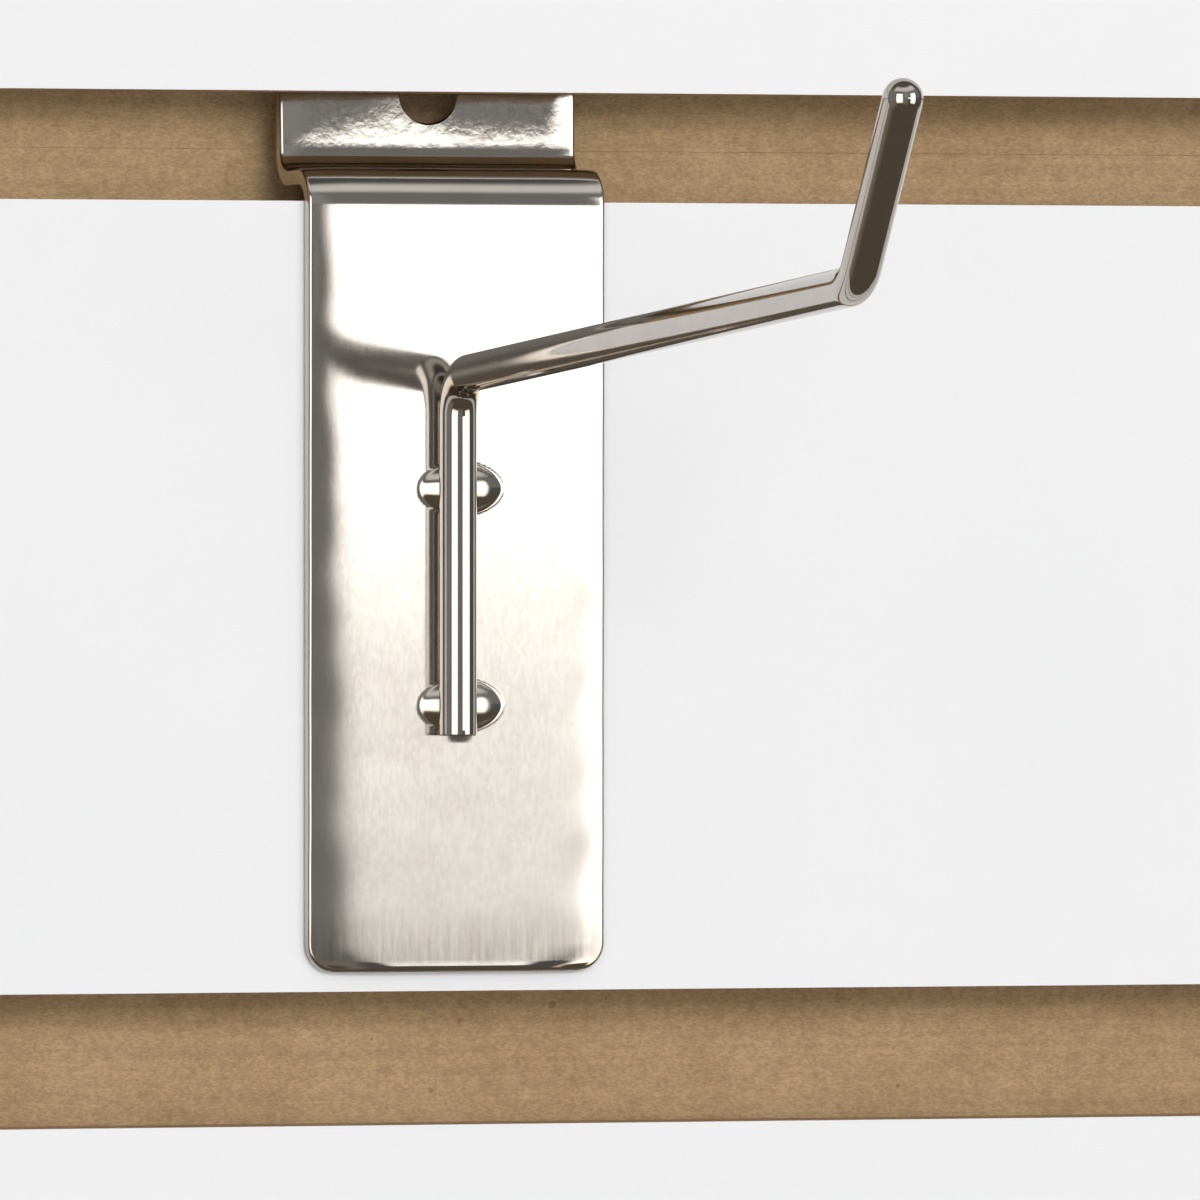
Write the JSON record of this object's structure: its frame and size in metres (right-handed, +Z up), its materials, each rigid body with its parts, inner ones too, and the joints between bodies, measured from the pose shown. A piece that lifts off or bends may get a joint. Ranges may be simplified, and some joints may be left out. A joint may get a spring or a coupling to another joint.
{
  "type": "slatwall panel",
  "caption": "White-faced MDF slatwall panel of stacked T-groove boards, with a chrome single-peg hook that slides along the groove where the boards meet.",
  "frame": {"origin": "centre of the panel's back face, level with the seam between the two boards", "axes": "+Z up, +Y out of the back, so the slats face -Y, X along the grooves"},
  "size_m": [0.6096, 0.1401, 0.6128],
  "materials": {
    "mdf": "raw machined medium-density fibreboard",
    "white_laminate": "white melamine laminate, fine satin",
    "balancing_sheet": "plain buff balancing sheet, matte",
    "chrome_sheet": "bright chrome plate over lightly grained steel sheet",
    "chrome_wire": "bright chrome plate over drawn wire"
  },
  "bodies": {
    "panel": {"upper_board_core": "mdf", "lower_board_core": "mdf", "face_strip_1": "white_laminate", "face_strip_2": "white_laminate", "face_strip_3": "white_laminate", "face_strip_4": "white_laminate", "face_strip_5": "white_laminate", "face_strip_6": "white_laminate", "face_strip_7": "white_laminate", "face_strip_8": "white_laminate", "upper_back_sheet": "balancing_sheet", "lower_back_sheet": "balancing_sheet"},
    "hook": {"hook_plate": "chrome_sheet", "hook_peg": "chrome_wire"}
  },
  "joints": [
    {"name": "hook_slide", "type": "slide", "parent": "panel", "child": "hook", "axis": [1, 0, 0], "range_m": [-0.2915, 0.2915]}
  ]
}
